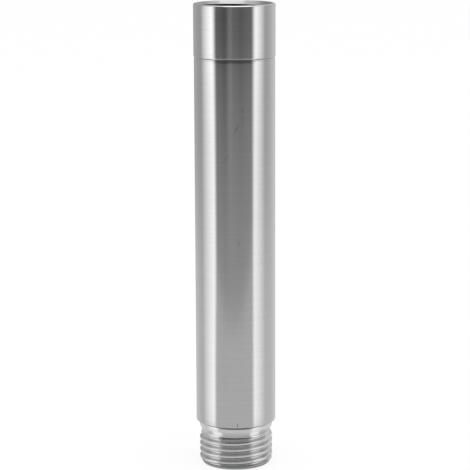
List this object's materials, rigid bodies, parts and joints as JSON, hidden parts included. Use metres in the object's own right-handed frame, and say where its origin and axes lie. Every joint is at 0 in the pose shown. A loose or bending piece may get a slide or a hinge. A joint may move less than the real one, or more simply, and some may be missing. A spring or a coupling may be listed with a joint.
{
  "type": "shower extension tube",
  "caption": "Straight round metal tube with a female screw socket on one end and a male screw nipple on the other, which lengthens a shower arm or riser.",
  "frame": {"origin": "centre of the nipple's end face, on which the part stands", "axes": "+Z along the tube, from the nipple's end face to the socket's mouth"},
  "size_m": [0.0226, 0.0226, 0.1303],
  "materials": {
    "tube_steel": "fine circumferential brushing, satin",
    "collar_steel": "fine circumferential brushing, satin",
    "nipple_steel": "turned, bright",
    "washer_rubber": "matt moulded rubber"
  },
  "bodies": {
    "root": {"tube": "tube_steel", "socket_collar": "collar_steel", "threaded_nipple": "nipple_steel", "sealing_washer": "washer_rubber"}
  },
  "joints": []
}
